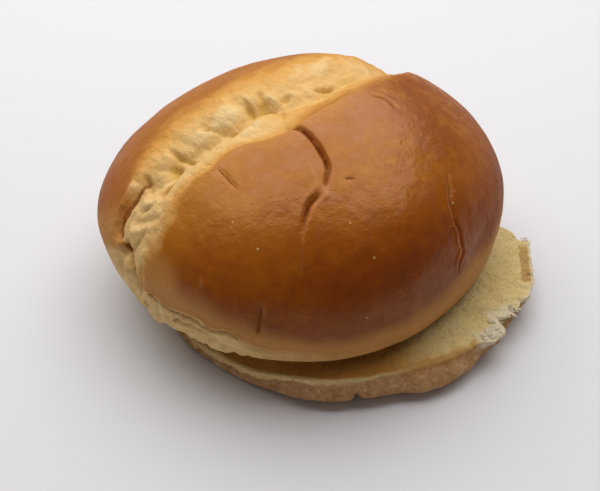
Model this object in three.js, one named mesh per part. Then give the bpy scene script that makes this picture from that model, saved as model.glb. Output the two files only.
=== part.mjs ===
// A soft split-top bread roll, sliced through level and set down with its domed top half, the crown,
// slid about 12 mm off centre on its thin lower half, the heel.
//
// Millimetres, +Z up. The origin is the centre of the heel's flat base and +X runs along the split that
// opened in the crown's crust as it baked. The crown's larger lobe lies on the -Y side of the split.
import * as THREE from "three";

const { smoothstep, degToRad, lerp } = THREE.MathUtils;

// ---- Driving dimensions ----

const HEEL = {
  outline: { longRadius: 50, shortRadius: 49.5, turn: 14, squareness: 2.14 },
  thickness: 9.2,
  topInset: 1.5, // how far the cut face's edge lies inside the widest outline
  footInset: 3.4, // how far the flat base's edge lies inside the widest outline
  unevenness: 0.5, // rise and fall of the outline and droop of the rim, as a hand-shaped roll has
  swells: 3, // gentle swells round the outline
  rimShare: 0.8, // share of the cut face's radius at which the rim starts to droop
  // The slice ran low towards -X: how far the face sinks at the edge there, and how far in that starts.
  lowSide: { azimuth: 187, halfWidth: 46, depth: 5, reach: 36 },
};

// Where the uncut side of the roll tore instead of slicing: bites out of the cut face's edge.
const TORN_BITES = [
  { azimuth: 267, halfWidth: 4, depth: 1.4 },
  { azimuth: 281, halfWidth: 4, depth: 3.2 },
  { azimuth: 331, halfWidth: 11, depth: 4.4 },
];

const CROWN = {
  centre: [-6, 10.7], // zero when the roll is closed; this is how far the crown has slid
  outline: { longRadius: 52.5, shortRadius: 51, turn: 10, squareness: 2.2 },
  widestHeight: 24.9,
  domeRise: 31.3, // crest above the widest level
  shoulder: 1.95, // exponents of the dome's profile: 2 would be an ellipse
  crestCurve: 1.74,
  crest: [5.2, -3.8], // the crest's place, from the crown's centre
  rimHeight: 11.6,
  rimTuck: 0.05, // how far the flank draws in from the widest level to the rim, as a share of its radius
  lean: [-0.8, -0.9], // slope along X and Y in degrees: the crown leans back a little
  restGap: 0.35, // between the two cut faces where the crown rests
  restingShare: 0.62, // share of the underside's radius that lies flat, inside the edge that curls up
};

// The split runs along X. Its lines are given at these stations, as their distance from the crown's centre
// line: the bottom of the valley, the front lobe's crust edge and the back lobe's crust edge.
const SPLIT = {
  stations: [-52, -36, -22, -8, 8, 26, 52],
  valley: [3.5, 0, 0, -6, -8, -6, -2],
  frontEdge: [-5.5, -3.2, -8, -12.5, -12, -9.6, -7],
  backEdge: [8, 15.5, 21, 19, 14.5, 11, 7],
  depth: [4.4, 3.5, 3.5, 4, 3.4, 3.2, 3.8],
  coreHeight: 12, // the valley is sunk towards a point on the crown's axis at this height
};

// Fineness of the surfaces, and how their rings are shared out from the top pole to the bottom pole.
const CROWN_MESH = { columns: 76, rings: 36, domeEnd: 0.56, flankEnd: 0.7 };
const HEEL_MESH = { columns: 64, rings: 16, faceEnd: 0.4, sideEnd: 0.68 };

const COLOURS = { glazedCrust: 0x8a4a17, paleCrust: 0xb58a58 };

// ---- Shape helpers ----

// Radius at an azimuth of a rounded outline between a circle and a square (a turned superellipse).
function outlineRadius({ longRadius, shortRadius, turn, squareness }, azimuth) {
  const angle = azimuth - degToRad(turn);
  const along = Math.abs(Math.cos(angle) / longRadius) ** squareness;
  const across = Math.abs(Math.sin(angle) / shortRadius) ** squareness;
  return (along + across) ** (-1 / squareness);
}

// A closed body made from a sphere: place(azimuth, share) gives a point, with share running from 0 at the
// top pole to 1 at the bottom pole.
function bodyFromSphere({ columns, rings }, place) {
  const geometry = new THREE.SphereGeometry(1, columns, rings);
  const position = geometry.getAttribute("position");
  for (let i = 0; i < position.count; i++) {
    const column = i % (columns + 1) % columns;
    const ring = Math.floor(i / (columns + 1));
    const point = place((2 * Math.PI * column) / columns, ring / rings);
    position.setXYZ(i, point.x, point.y, point.z);
  }
  geometry.deleteAttribute("uv");
  geometry.computeVertexNormals();
  return geometry;
}

function crustMesh(name, geometry, color, roughness) {
  const mesh = new THREE.Mesh(geometry, new THREE.MeshStandardMaterial({ color, roughness, metalness: 0 }));
  mesh.name = name;
  return mesh;
}

// ---- The split ----

// One of the split's lines as a smooth function of x.
function splitLine(values) {
  const interpolant = new THREE.CubicInterpolant(SPLIT.stations, values, 1);
  return (x) => interpolant.evaluate(x)[0];
}

const valleyAt = splitLine(SPLIT.valley);
const frontEdgeAt = splitLine(SPLIT.frontEdge);
const backEdgeAt = splitLine(SPLIT.backEdge);
const depthAt = splitLine(SPLIT.depth);

// How far the split sinks the dome at a point: a valley with a steep front wall and a long back slope.
function splitDepth(x, y) {
  const valley = valleyAt(x);
  const wall = y < valley ? valley - frontEdgeAt(x) : backEdgeAt(x) - valley;
  return depthAt(x) * (1 - smoothstep(Math.abs(y - valley), 0, wall));
}

// ---- The crown ----

// A point of the crown's outside, from the crown's centre: down is 0 at the crest and 1 at the rim.
function crownFlank(azimuth, down) {
  const widestAt = CROWN_MESH.domeEnd / CROWN_MESH.flankEnd;
  let reach, height;
  if (down < widestAt) {
    const angle = (down / widestAt) * (Math.PI / 2);
    reach = Math.sin(angle) ** (2 / CROWN.shoulder);
    height = CROWN.widestHeight + CROWN.domeRise * Math.cos(angle) ** (2 / CROWN.crestCurve);
  } else {
    const below = (down - widestAt) / (1 - widestAt);
    reach = 1 - CROWN.rimTuck * below ** 2;
    height = lerp(CROWN.widestHeight, CROWN.rimHeight, below);
  }
  const radius = outlineRadius(CROWN.outline, azimuth) * reach;
  const towardsCrest = Math.max(0, 1 - reach ** 2);
  const x = radius * Math.cos(azimuth) + CROWN.crest[0] * towardsCrest;
  const y = radius * Math.sin(azimuth) + CROWN.crest[1] * towardsCrest;
  const leaning = x * Math.tan(degToRad(CROWN.lean[0])) + y * Math.tan(degToRad(CROWN.lean[1]));
  return new THREE.Vector3(x, y, height + leaning);
}

// The same point with the split sunk into it.
function crownOutside(azimuth, down) {
  const point = crownFlank(azimuth, down);
  const core = new THREE.Vector3(0, 0, SPLIT.coreHeight);
  const outwards = point.clone().sub(core).normalize();
  return point.addScaledVector(outwards, -splitDepth(point.x, point.y));
}

// The cut underside: flat where the crown rests, curling up to the rim.
function crownUnderside(azimuth, reach) {
  const rim = crownOutside(azimuth, 1);
  const curl = smoothstep(reach, CROWN.restingShare, 1) ** 2;
  return new THREE.Vector3(rim.x * reach, rim.y * reach, lerp(HEEL.thickness + CROWN.restGap, rim.z, curl));
}

function makeCrown() {
  const { flankEnd } = CROWN_MESH;
  const slide = new THREE.Vector3(...CROWN.centre, 0);
  const place = (azimuth, share) => {
    const outside = share <= flankEnd;
    const point = outside
      ? crownOutside(azimuth, share / flankEnd)
      : crownUnderside(azimuth, (1 - share) / (1 - flankEnd));
    return point.add(slide);
  };
  return crustMesh("crown", bodyFromSphere(CROWN_MESH, place), COLOURS.glazedCrust, 0.42);
}

// ---- The heel ----

// How far the torn edge is bitten in at an azimuth.
function tornDepth(azimuth) {
  return TORN_BITES.reduce((total, bite) => {
    const away = Math.abs(azimuth - degToRad(bite.azimuth)) / degToRad(bite.halfWidth);
    return total + bite.depth * (1 - smoothstep(away, 0, 1));
  }, 0);
}

// How far the cut face has sunk at an azimuth and a distance in from its edge.
function faceSink(azimuth, inwards) {
  const { azimuth: lowest, halfWidth, depth, reach } = HEEL.lowSide;
  const away = Math.abs(azimuth - degToRad(lowest)) / degToRad(halfWidth);
  return depth * (1 - smoothstep(away, 0, 1)) * Math.max(0, 1 - inwards / reach);
}

// Down the crust side from the cut face's edge to the base's edge, bulging out to the widest outline.
function heelSide(edge, top, widest, foot, down) {
  const bulge = widest - (edge + foot) / 2;
  const radius = lerp(edge, foot, down) + bulge * Math.sin(down * Math.PI);
  const height = lerp(top, 0, smoothstep(down, 0, 1));
  return [radius, height];
}

function makeHeel() {
  const { faceEnd, sideEnd } = HEEL_MESH;
  const place = (azimuth, share) => {
    const widest = outlineRadius(HEEL.outline, azimuth) + HEEL.unevenness * Math.cos(HEEL.swells * azimuth);
    const edge = widest - HEEL.topInset - tornDepth(azimuth);
    const foot = widest - HEEL.footInset;
    let radius, height;
    if (share <= faceEnd) {
      const reach = share / faceEnd;
      radius = edge * reach;
      height = HEEL.thickness - HEEL.unevenness * smoothstep(reach, HEEL.rimShare, 1);
      height -= faceSink(azimuth, edge - radius);
    } else if (share <= sideEnd) {
      const top = HEEL.thickness - HEEL.unevenness - faceSink(azimuth, 0);
      [radius, height] = heelSide(edge, top, widest, foot, (share - faceEnd) / (sideEnd - faceEnd));
    } else {
      radius = foot * ((1 - share) / (1 - sideEnd));
      height = 0;
    }
    return new THREE.Vector3(radius * Math.cos(azimuth), radius * Math.sin(azimuth), height);
  };
  return crustMesh("heel", bodyFromSphere(HEEL_MESH, place), COLOURS.paleCrust, 0.8);
}

// ---- The roll ----

const breadRoll = new THREE.Group();
breadRoll.add(makeHeel(), makeCrown());

export default breadRoll;
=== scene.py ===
import math

import bpy
import numpy as np
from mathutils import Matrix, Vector


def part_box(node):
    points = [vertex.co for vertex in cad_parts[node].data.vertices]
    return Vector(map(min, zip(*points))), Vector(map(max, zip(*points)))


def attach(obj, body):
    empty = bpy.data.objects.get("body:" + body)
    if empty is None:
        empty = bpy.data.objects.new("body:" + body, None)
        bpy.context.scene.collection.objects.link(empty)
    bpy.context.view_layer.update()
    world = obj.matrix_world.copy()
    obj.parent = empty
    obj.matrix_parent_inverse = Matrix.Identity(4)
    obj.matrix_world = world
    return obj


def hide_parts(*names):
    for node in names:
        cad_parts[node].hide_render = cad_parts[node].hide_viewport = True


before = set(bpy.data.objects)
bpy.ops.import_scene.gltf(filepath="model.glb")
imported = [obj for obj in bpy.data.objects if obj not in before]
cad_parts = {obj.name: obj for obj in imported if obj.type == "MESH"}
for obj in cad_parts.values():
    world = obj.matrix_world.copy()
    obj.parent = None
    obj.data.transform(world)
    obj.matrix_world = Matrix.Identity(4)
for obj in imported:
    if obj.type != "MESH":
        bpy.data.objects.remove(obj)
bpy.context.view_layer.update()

MM = 0.001

# ---- Driving dimensions, in millimetres ----

crown_box = np.array(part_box("crown")) / MM
heel_box = np.array(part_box("heel")) / MM

CROWN_CENTRE = (crown_box[0, :2] + crown_box[1, :2]) / 2
CROWN_RADII = 52.5, 51.0
CROWN_TURN = math.radians(10)
CROWN_SQUARENESS = 2.2
WIDEST_HEIGHT = 24.9
DOME_RISE = 31.3
SHOULDER, CREST_CURVE = 1.95, 1.74  # exponents of the dome's profile: 2 would be an ellipse
CREST = 5.2, -3.8
RIM_HEIGHT = 11.6
RIM_TUCK = 0.05
RIM_ROUNDING = 1.3
LEAN = math.tan(math.radians(-0.8)), math.tan(math.radians(-0.9))
DOME_SHARE = 0.8  # share of the way from crest to rim that is dome; the rest is flank
RESTING_SHARE = 0.62
REST_GAP = 0.3

HEEL_THICKNESS = heel_box[1, 2]
HEEL_RADII = 50.0, 49.5
HEEL_TURN = math.radians(14)
HEEL_SQUARENESS = 2.14
HEEL_SWELL = 0.5
TOP_INSET = 1.5
FOOT_INSET = 4.2
FACE_SINK = 0.15  # how far the cut face lies below the full thickness, to leave room for its crumb
SIDE_SINK = 0.25  # how far the top of the side lies below it
EDGE_ROUNDING = 0.12


# ---- Numbers over whole arrays ----


def smooth(values, start, end):
    """0 before start, 1 after end, and an S-curve 3q^2 - 2q^3 between them."""
    q = np.clip((values - start) / (end - start), 0, 1)
    return q * q * (3 - 2 * q)


def bell(values, middle, width):
    """1 at the middle, falling away as a normal curve of that width."""
    return np.exp(-(((values - middle) / width) ** 2))


def through(stations, values, at):
    """A smooth line through the stations, in cubic pieces. The slope at each station is that of its
    neighbours, but no more than three times the gentler side's, so that the line doesn't swing out."""
    stations, values = np.array(stations, float), np.array(values, float)
    steep = np.abs(np.diff(values) / np.diff(stations))
    most = 3 * np.minimum(np.append(steep, steep[-1]), np.insert(steep, 0, steep[0]))
    slopes = np.clip(np.gradient(values, stations), -most, most)
    at = np.clip(at, stations[0], stations[-1])
    i = np.clip(np.searchsorted(stations, at) - 1, 0, len(stations) - 2)
    gap = stations[i + 1] - stations[i]
    q = (at - stations[i]) / gap
    ends = values[i] * (1 + 2 * q) * (1 - q) ** 2 + values[i + 1] * q * q * (3 - 2 * q)
    bends = slopes[i] * q * (1 - q) ** 2 - slopes[i + 1] * q * q * (1 - q)
    return ends + bends * gap


def by_azimuth(azimuth, stations, values):
    """The smooth line through values given at azimuths in degrees."""
    return through(stations, values, np.degrees(azimuth) % 360)


def lattice(ix, iy, iz, seed):
    """A repeatable number from 0 to 1 for each point of a whole-number lattice, by mixing its bits."""
    bits = (ix * 73856093) ^ (iy * 19349663) ^ (iz * 83492791) ^ (seed * 2654435761)
    bits = ((bits ^ (bits >> 15)) * 73244475) & 0xFFFFFFFF
    bits = ((bits ^ (bits >> 13)) * 73244475) & 0xFFFFFFFF
    return ((bits ^ (bits >> 16)) & 0xFFFFFF) / 0xFFFFFF


def bumps(points, size, seed):
    """Value noise from -1 to 1: lattice numbers `size` apart, blended by the curve 6q^5 - 15q^4 + 10q^3."""
    cell = np.floor(points / size)
    q = points / size - cell
    q = q**3 * (q * (q * 6 - 15) + 10)
    cell = cell.astype(np.int64)
    total = np.zeros(points.shape[:-1])
    for corner in np.ndindex(2, 2, 2):
        weight = np.prod(np.where(np.array(corner) == 1, q, 1 - q), axis=-1)
        total += weight * lattice(*np.moveaxis(cell + corner, -1, 0), seed)
    return total * 2 - 1


TURNED = np.array([[0.36, 0.48, -0.8], [-0.8, 0.6, 0.0], [0.48, 0.64, 0.6]])


def rough(points, size, seed, octaves=3):
    """Fractal noise: each octave is half as large and half as high as the last, on a turned lattice."""
    total, height = 0.0, 1.0
    for octave in range(octaves):
        total = total + height * bumps(points, size, seed + octave)
        points = points @ TURNED
        size, height = size / 2, height / 2
    return total


def pits(points, size, seed):
    """1 at the middle of scattered pits and 0 between them, from the distance to the nearest lattice point
    shifted at random inside its cell."""
    cell = np.floor(points / size).astype(np.int64)
    nearest = np.full(points.shape[:-1], 9.0)
    for step in np.ndindex(3, 3, 3):
        near = cell + np.array(step) - 1
        shift = np.stack([lattice(*np.moveaxis(near, -1, 0), seed + axis) for axis in range(3)], axis=-1)
        nearest = np.minimum(nearest, np.linalg.norm(points / size - near - shift, axis=-1))
    return 1 - smooth(nearest, 0.1, 0.55)


def from_route(points, route, outward):
    """For each point, its distance from a smooth route, the share of the route's length where it is
    nearest, and which side of the route it lies on: 1 to the left, seen from outside, or -1."""
    route = np.array(route, float)
    length = np.concatenate([[0], np.cumsum(np.linalg.norm(np.diff(route, axis=0), axis=1))])
    steps = np.linspace(0, length[-1], 4 * len(route))
    path = np.stack([through(length, route[:, axis], steps) for axis in range(3)], axis=-1)
    distance = np.full(points.shape[:-1], 1e9)
    share = np.zeros_like(distance)
    side = np.ones_like(distance)
    for i, (start, end) in enumerate(zip(path[:-1], path[1:])):
        along = end - start
        q = np.clip((points - start) @ along / (along @ along), 0, 1)
        offset = points - start - q[..., None] * along
        away = np.linalg.norm(offset, axis=-1)
        left = np.sign(np.sum(np.cross(outward, along) * offset, axis=-1))
        nearer = away < distance
        distance = np.where(nearer, away, distance)
        share = np.where(nearer, (i + q) / (len(path) - 1), share)
        side = np.where(nearer, left, side)
    return distance, share, side


def crowded(count, focus, spread, gain):
    """count + 1 numbers from -1 to 1 that crowd round focus: where a running sum of a density of 1, plus a
    bell of height gain, passes equal steps."""
    fine = np.linspace(-1, 1, 4001)
    total = np.cumsum(1 + gain * bell(fine, focus, spread))
    total = (total - total[0]) / (total[-1] - total[0])
    return np.interp(np.linspace(0, 1, count + 1), total, fine)


def in_between(values, start, end, soft=5.0):
    """1 between start and end, with an S-curve that wide at each end."""
    return smooth(values, start - soft, start) * (1 - smooth(values, end, end + soft))


def superellipse(azimuth, radii, turn, squareness):
    """Radius at an azimuth of an outline between an ellipse and a rectangle, turned."""
    along = np.abs(np.cos(azimuth - turn) / radii[0]) ** squareness
    across = np.abs(np.sin(azimuth - turn) / radii[1]) ** squareness
    return (along + across) ** (-1 / squareness)


def polar(radius, azimuth, height):
    """Points at those radii, azimuths and heights."""
    parts = radius * np.cos(azimuth), radius * np.sin(azimuth), height
    return np.stack(np.broadcast_arrays(*parts), axis=-1)


def turned(x, y, degrees):
    """x and y turned about the origin."""
    c, s = math.cos(math.radians(degrees)), math.sin(math.radians(degrees))
    return x * c - y * s, x * s + y * c


def sheet_normals(sheet):
    """Unit normals of a grid of points: the cross product of its two directions."""
    normal = np.cross(np.gradient(sheet, axis=0), np.gradient(sheet, axis=1))
    return normal / np.maximum(np.linalg.norm(normal, axis=-1, keepdims=True), 1e-9)


# ---- Meshes ----


def build(name, points, faces, fields):
    """A smooth-shaded mesh object from points in millimetres and lists of faces, with its fields as
    attributes of its points."""
    mesh = bpy.data.meshes.new(name)
    corners = np.concatenate([part.ravel() for part in faces])
    sizes = np.concatenate([np.full(len(part), part.shape[1]) for part in faces])
    mesh.vertices.add(len(points))
    mesh.vertices.foreach_set("co", (points * MM).ravel())
    mesh.loops.add(len(corners))
    mesh.loops.foreach_set("vertex_index", corners)
    mesh.polygons.add(len(sizes))
    mesh.polygons.foreach_set("loop_start", np.concatenate([[0], np.cumsum(sizes)[:-1]]))
    mesh.polygons.foreach_set("use_smooth", np.ones(len(sizes), bool))
    for field, values in fields.items():
        attribute = mesh.attributes.new(field, "FLOAT", "POINT")
        attribute.data.foreach_set("value", values.ravel().astype(np.float32))
    mesh.update(calc_edges=True)
    piece = bpy.data.objects.new(name, mesh)
    bpy.context.scene.collection.objects.link(piece)
    return piece


def grid_faces(index, closed=False):
    """Four-cornered faces between the neighbours of a grid of point numbers; closed joins the last column
    to the first."""
    if closed:
        index = np.concatenate([index, index[:, :1]], axis=1)
    corners = index[:-1, :-1], index[1:, :-1], index[1:, 1:], index[:-1, 1:]
    return np.stack([corner.ravel() for corner in corners], axis=-1)


def fan_faces(ring, pole):
    """Triangles from a closed ring of point numbers to one pole point."""
    return np.stack([ring, np.roll(ring, -1), np.full(len(ring), pole)], axis=-1)


def body_faces(rings, columns):
    """Faces of a closed body of that many rings of points, whose two poles are numbered after them."""
    count = rings * columns
    index = np.arange(count).reshape(rings, columns)
    caps = fan_faces(index[0], count), fan_faces(index[-1], count + 1)[:, ::-1]
    return grid_faces(index, closed=True), np.concatenate(caps)


# ---- The crown ----

# The split's lines, from the crown's centre line, at stations along a run that follows X over the top and
# goes on down the flank at both ends.
SPLIT_STATIONS = [
    -70, -62, -58, -55, -52.5, -50, -47, -43, -40, -37, -31, -24, -19, -13, -7, 1, 12, 26, 38, 52, 70,
]
FRONT_EDGE = [
    0, -2.6, -3.2, -3.6, -4, -4, -3.6, -2.4, -2, -1.8, -3.4,
    -4.4, -8.4, -10.2, -10.4, -10.5, -10.3, -7.6, -3.6, -0.4, 1.4,
]
VALLEY = [-1, -0.3, 1, 3.5, 6.5, 10.2, 11.2, 10.4, 8.2, 7, 7, 5.6, 4, 5, 0.5, -3, -1.4, 1, 3.6, 4, 4]
BACK_EDGE = [
    3, 5.5, 8, 10.5, 11.8, 13, 13.8, 14.6, 15.8, 17, 19.5, 20.6, 19.4, 18.4, 18, 17.8, 16.6, 15, 14, 12, 10,
]
SPLIT_DEPTH = [
    0.8, 1.2, 1.5, 1.6, 1.7, 1.8, 2, 2.5, 3, 3.4, 3.8, 3.8, 3.9, 4, 3.8, 3.8, 3.8, 3.8, 3.6, 2.6, 1.2,
]
RUN_TURNS_DOWN = 31.0  # height below which the run goes down the flank

# Dents and swellings of the torn dough: x, y, half length, half width, turn in degrees, height.
DOUGH_SHAPES = [
    (-51.9, 6.8, 1.5, 1.3, 70, -1.2),
    (-40.2, 4.4, 1.9, 1.0, 20, -2.4),
    (-40.8, 11.4, 2.0, 0.7, 60, -1.2),
    (-34.8, 8.6, 3.6, 1.4, 50, -1.3),
    (-33.0, 12.8, 3.4, 1.6, 35, 0.6),
    (-25.4, 9.6, 4.2, 4.2, 0, 0.9),
    (-16.6, 9.4, 3.4, 3.0, 30, 0.8),
    (-11.9, 7.4, 1.9, 1.0, 75, -1.4),
    (-9.2, 5.4, 2.0, 1.6, 50, -1.9),
    (-7.6, 8.2, 1.6, 0.9, 70, -1.2),
    (-4.4, 2.6, 1.3, 1.5, 30, -1.1),
    (-10.6, 8.8, 2.6, 0.6, 75, 0.7),
    (-6.6, 4.6, 2.4, 0.7, 105, 0.9),
    (-1.8, 3.4, 2.4, 0.8, 100, 0.6),
    (-17.6, 0.4, 4.6, 2.4, 0, 0.5),
    (6.8, -0.4, 2.6, 0.5, -12, -1.0),
    (-44.0, 6.0, 3.4, 1.2, 120, 0.7),
    (-48.6, 4.0, 3.0, 1.0, 115, 0.6),
    (-46.2, 2.0, 3.0, 0.8, 115, -0.6),
    (-50.6, 1.2, 3.0, 0.8, 110, -0.5),
    (14.0, 8.0, 6.0, 2.2, 30, 0.7),
]
# Where the split's torn line runs down the flank at its -X end.
LOWER_LINE = [(-51.9, 5.8, 29.3), (-52.6, 3.2, 27.2), (-52.7, 1.4, 24), (-52.2, 0.4, 21), (-51.9, 0.2, 18.7)]

# Creases between swellings of the dough: half width, depth and a route over the surface.
DOUGH_CREASES = [
    (0.6, 1.4, [(-33.4, 4.2, 46.7), (-30.1, 5, 48.2), (-26.5, 5.4, 49.8), (-23, 4.6, 51)]),
    (0.5, 1.8, [(-32, 14.6, 45.9), (-32.2, 11.4, 46.5), (-31.9, 8.2, 47), (-31.2, 4.4, 47.9)]),
    (0.5, 1.4, [(-24.2, 12.2, 49.6), (-23.2, 10.6, 50.1), (-22.3, 8.2, 50.8), (-20.9, 5.3, 51.7)]),
    (0.5, 1.8, [(-21.2, 5.2, 51.6), (-18.7, 3.4, 52.5), (-15.9, 3.6, 53.2), (-13.1, 4.1, 53.8)]),
    (0.4, 1.3, [
        (-12.9, 4.4, 53.7), (-10.6, 3.4, 54.3), (-9, 2.4, 54.8), (-9.2, -1, 54.9), (-11.4, -6, 54.5),
    ]),
    (0.45, 0.7, [(-26.6, 12.4, 48.5), (-23.7, 12.4, 49.7), (-21, 11, 50.6)]),
    (0.6, 1.1, [(-38, 13.6, 42.6), (-36.4, 10.6, 43.8), (-35, 8.2, 45.2), (-35.4, 5.2, 45.5)]),
    (0.35, 1.5, [(-39.6, 12.6, 41.8), (-41.6, 11.9, 40.6), (-44.7, 11.8, 37.9), (-47.1, 11.8, 35.4)]),
    (0.35, 1.5, [(-46.4, 11.4, 36.2), (-48.8, 11.4, 33.3), (-50.3, 10.6, 31.2), (-51.4, 8.5, 29.8)]),
    (0.3, 1.1, [(-43.4, 9.4, 39.4), (-45.8, 8.6, 37.2), (-48.4, 8.8, 34.4), (-50.4, 7.4, 31.8)]),
    (0.3, 0.8, [(-41.6, 3.4, 41.8), (-43.6, 4, 40), (-46, 5.8, 37.6), (-48.6, 5.6, 34.8)]),
    (0.3, 1, [(-47.4, 1.2, 36.4), (-49.8, 1.8, 33.4), (-51.4, 4, 30.4), (-51.9, 5.8, 29.3)]),
    (0.5, 2, LOWER_LINE),
    (0.35, 1, [(-51.6, -1.4, 30), (-52.4, -1.2, 27), (-52.6, -1.6, 24), (-52.2, -2.4, 21.4)]),
    (0.4, 1.1, [(3.4, 0.6, 55.9), (6.6, -0.3, 56), (9.6, -0.9, 55.9)]),
    (0.35, 0.5, [(0.5, 6, 55.1), (4.5, 4.4, 55.4), (8.4, 4, 55.3)]),
    (0.35, 0.5, [(12, 5.6, 54.8), (16, 3.6, 54.5), (20, 3.2, 54)]),
]
END_DIP = {"x": 36.0, "y": 4.0, "half_length": 10.0, "half_width": 7.5, "depth": 1.6}

# Furrows and ridges of the crust: half width, height, how dark (or light, below 0), the shares of its
# length over which it fades in and out, and a route over the surface.
FURROWS = [
    # The main crack, in two runs with a jog between them, and its faint end.
    (0.43, -2, 1, (0.45, 0.15), [
        (-15, -9, 53.7), (-13.2, -10.2, 54), (-11.9, -12, 54.2), (-11.8, -14, 53.9), (-12.1, -16.9, 53.4),
        (-12.9, -19.8, 52.7), (-13.6, -22.2, 52), (-14.7, -24.6, 51.1),
    ]),
    (0.52, -0.9, 0.75, (0.2, 0.25), [
        (-13.8, -22.8, 51.8), (-14.9, -24.8, 50.9), (-16.6, -26, 50.2), (-18.5, -27.5, 49.1),
    ]),
    (0.42, -1.4, 0.9, (0.2, 0.7), [
        (-19.9, -28, 48.4), (-21.9, -27.5, 47.8), (-23.6, -27.7, 47.1), (-24.9, -28.3, 46.3),
        (-26.6, -29.4, 45), (-27.9, -30.6, 43.8), (-29.2, -32.2, 42.2),
    ]),
    (0.3, -0.2, 0.35, (0.3, 0.4), [
        (-27.8, -31, 43.6), (-30.2, -32.9, 41.2), (-32, -34.8, 38.6), (-33.9, -36.6, 35),
    ]),
    (0.42, 0.2, -0.3, (0.3, 0.4), [
        (-16.6, -20, 52), (-17.8, -22.6, 50.9), (-18.9, -24.8, 49.9), (-20, -26, 49.2),
        (-21.9, -26.1, 48.4), (-23.6, -26.3, 47.6), (-25.2, -27.3, 46.5),
    ]),
    (0.35, 0.4, -0.6, (0.3, 0.4), [(-18.6, -28.2, 48.8), (-19.3, -28.8, 48.3), (-20.7, -29, 47.7)]),
    # The right-hand crack and the light lip beside it.
    (0.3, -0.7, 0.68, (0.3, 0.15), [
        (11.2, -37.5, 45.7), (9.4, -39.4, 44.6), (8.4, -41, 43.3), (6.6, -42.9, 41.6), (6.1, -44.7, 39.7),
        (5.3, -45.9, 38.3), (5.7, -47.3, 36.2), (5.2, -48.7, 33.6), (5.2, -49.6, 31.4), (3.4, -50.4, 29.8),
        (2.9, -50.9, 27.5), (2, -51.2, 25.7),
    ]),
    (0.32, 0.35, -0.5, (0.3, 0.4), [
        (5.4, -44.5, 40.1), (4.6, -46, 38.3), (4.9, -47.4, 36.3), (4.3, -48.6, 34), (4.6, -49.4, 32.2),
        (2.5, -50.3, 30.2), (2.1, -50.9, 28.2), (1.2, -51.2, 26),
    ]),
    # Short cracks, wrinkles and dashes.
    (0.22, -0.3, 0.7, (0.3, 0.4), [(-30.5, -4.6, 48.3), (-31.1, -9, 47.8), (-31.5, -14.2, 47.1)]),
    (0.6, -0.8, 0.75, (0.25, 0.25), [
        (-41, -31.7, 32), (-42, -32.4, 28.5), (-42.6, -32.4, 25.2), (-43, -32, 22.8),
    ]),
    (0.4, 0.25, -0.3, (0.3, 0.4), [(-40.2, -32.6, 32), (-41.1, -33.3, 28.5)]),
    (0.45, 0.3, -0.4, (0.3, 0.4), [(8.6, -14.6, 55), (10.6, -17, 54.7), (10.4, -19.8, 54.1)]),
    (0.4, -0.25, 0.4, (0.3, 0.4), [(9.6, -13.4, 55.1), (11.9, -16.6, 54.6), (11.8, -21.4, 53.6)]),
    (0.4, -0.3, 0.8, (0.3, 0.4), [(-13.9, -28.5, 50), (-11.4, -30.2, 49.8)]),
    (0.5, 0.12, -0.3, (0.3, 0.4), [(-20.5, -11.5, 52.6), (-22.8, -15, 51.6), (-26.6, -19.6, 49.4)]),
    # The torn line where the split's back edge runs down to its -X end, with a pit in it.
    (0.45, -0.5, 0.42, (0.15, 0.1), [
        (-39.6, 12.6, 41.8), (-41.6, 11.9, 40.6), (-44.7, 11.8, 37.9), (-47.1, 11.8, 35.4),
        (-48.8, 11.4, 33.3), (-50.3, 10.6, 31.2), (-51.4, 8.5, 29.8),
    ]),
    (1.3, -0.9, 0.85, (0.4, 0.4), [(-51.4, 7.8, 30.4), (-52.3, 5.6, 28.2)]),
    (0.42, -0.5, 0.42, (0.2, 0.2), LOWER_LINE),
    (0.4, 0.12, -0.25, (0.3, 0.4), [(-46.6, -17.8, 33.8), (-47.4, -20.2, 31.4)]),
    (0.5, -0.15, 0.3, (0.3, 0.4), [(-46.8, -13.6, 35.2), (-47.4, -16.8, 33)]),
]

DEEP_FURROW = -1  # a furrow deeper than this slopes on its left, seen from outside, and drops on its right
SLOPING_SIDE, STEEP_SIDE = 1.35, 0.75  # those sides' widths, as shares of its half width

# The fold where the crust rolls over the pale dough of the lower flank: its height at these azimuths, in
# degrees, and how strongly it shows there.
FOLD_AZIMUTHS = [120, 150, 160, 168, 174, 179, 182, 185, 192, 199, 205, 210, 213, 218, 225, 240, 258]
FOLD_HEIGHTS = [14, 18, 22, 26.5, 28, 27, 22.4, 21.6, 21.4, 22.2, 21.4, 22.4, 20, 18, 17, 15, 13]
FOLD_STRENGTHS = [0, 0, 0.05, 0.12, 0.2, 0.5, 0.8, 1, 1, 1, 1, 0.8, 0.6, 0.3, 0.12, 0.03, 0]
# How far the pale lip's colour shows, at the same azimuths.
LIP_COLOURS = [0, 0.3, 0.6, 0.8, 0.9, 1, 1, 1, 1, 1, 1, 0.95, 0.85, 0.6, 0.4, 0.15, 0]

# Height below which the crust turns from brown to tan.
TAN_AZIMUTHS = [0, 60, 120, 150, 170, 180, 186, 192, 200, 212, 227, 240, 258, 270, 290, 310, 330, 360]
TAN_HEIGHTS = [25, 23, 24, 28, 36, 36, 33, 30.5, 28.5, 26, 23.5, 22.8, 23, 24.5, 27, 28, 28, 25]


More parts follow.
